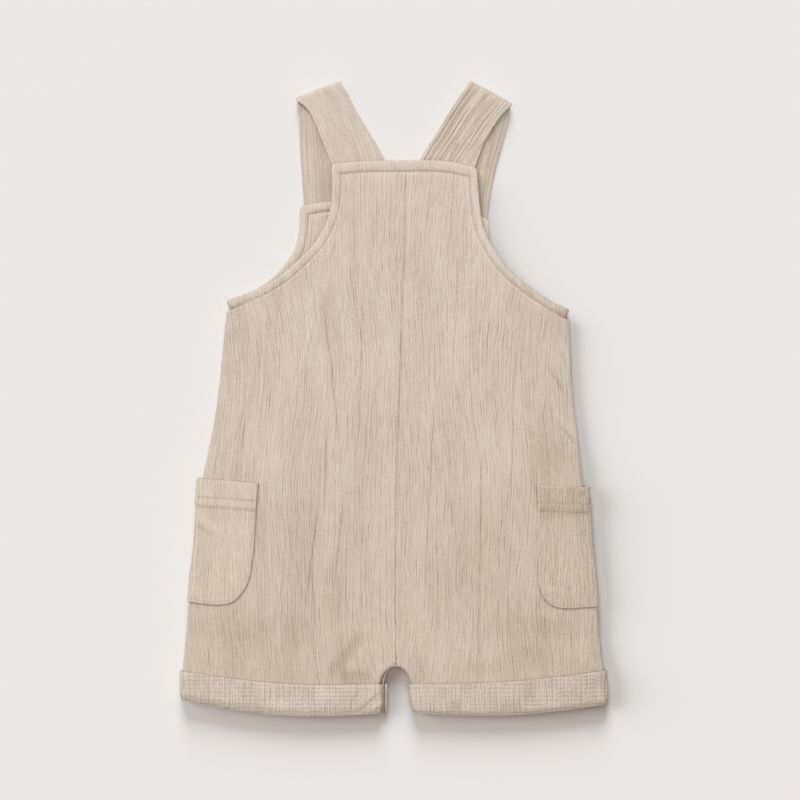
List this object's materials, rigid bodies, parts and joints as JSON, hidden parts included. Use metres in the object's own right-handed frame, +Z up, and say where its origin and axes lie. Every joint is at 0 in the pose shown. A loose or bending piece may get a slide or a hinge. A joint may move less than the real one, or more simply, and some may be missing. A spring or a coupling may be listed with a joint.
{
  "type": "baby's short dungarees",
  "caption": "Baby's short dungarees in crinkled cotton, laid flat with the back up, with wide straps, side pockets and turned-up legs.",
  "frame": {"origin": "middle of the footprint, on the surface that the garment lies on", "axes": "+Y from the leg hems to the shoulder straps, +X towards the picture's right, +Z up, out of the surface"},
  "size_m": [0.3184, 0.4706, 0.0114],
  "materials": {
    "crinkled_cotton": "matt, crinkled",
    "cotton_wrong_side": "matt, small grid"
  },
  "bodies": {
    "root": {"back_left": "crinkled_cotton", "back_right": "crinkled_cotton", "front_left": "crinkled_cotton", "front_right": "crinkled_cotton", "band_back": "crinkled_cotton", "band_front": "crinkled_cotton", "strap_left": "crinkled_cotton", "strap_right": "crinkled_cotton", "pocket_left": "crinkled_cotton", "pocket_right": "crinkled_cotton", "cuff_back_left": "cotton_wrong_side", "cuff_front_left": "cotton_wrong_side", "cuff_back_right": "cotton_wrong_side", "cuff_front_right": "cotton_wrong_side"}
  },
  "joints": []
}
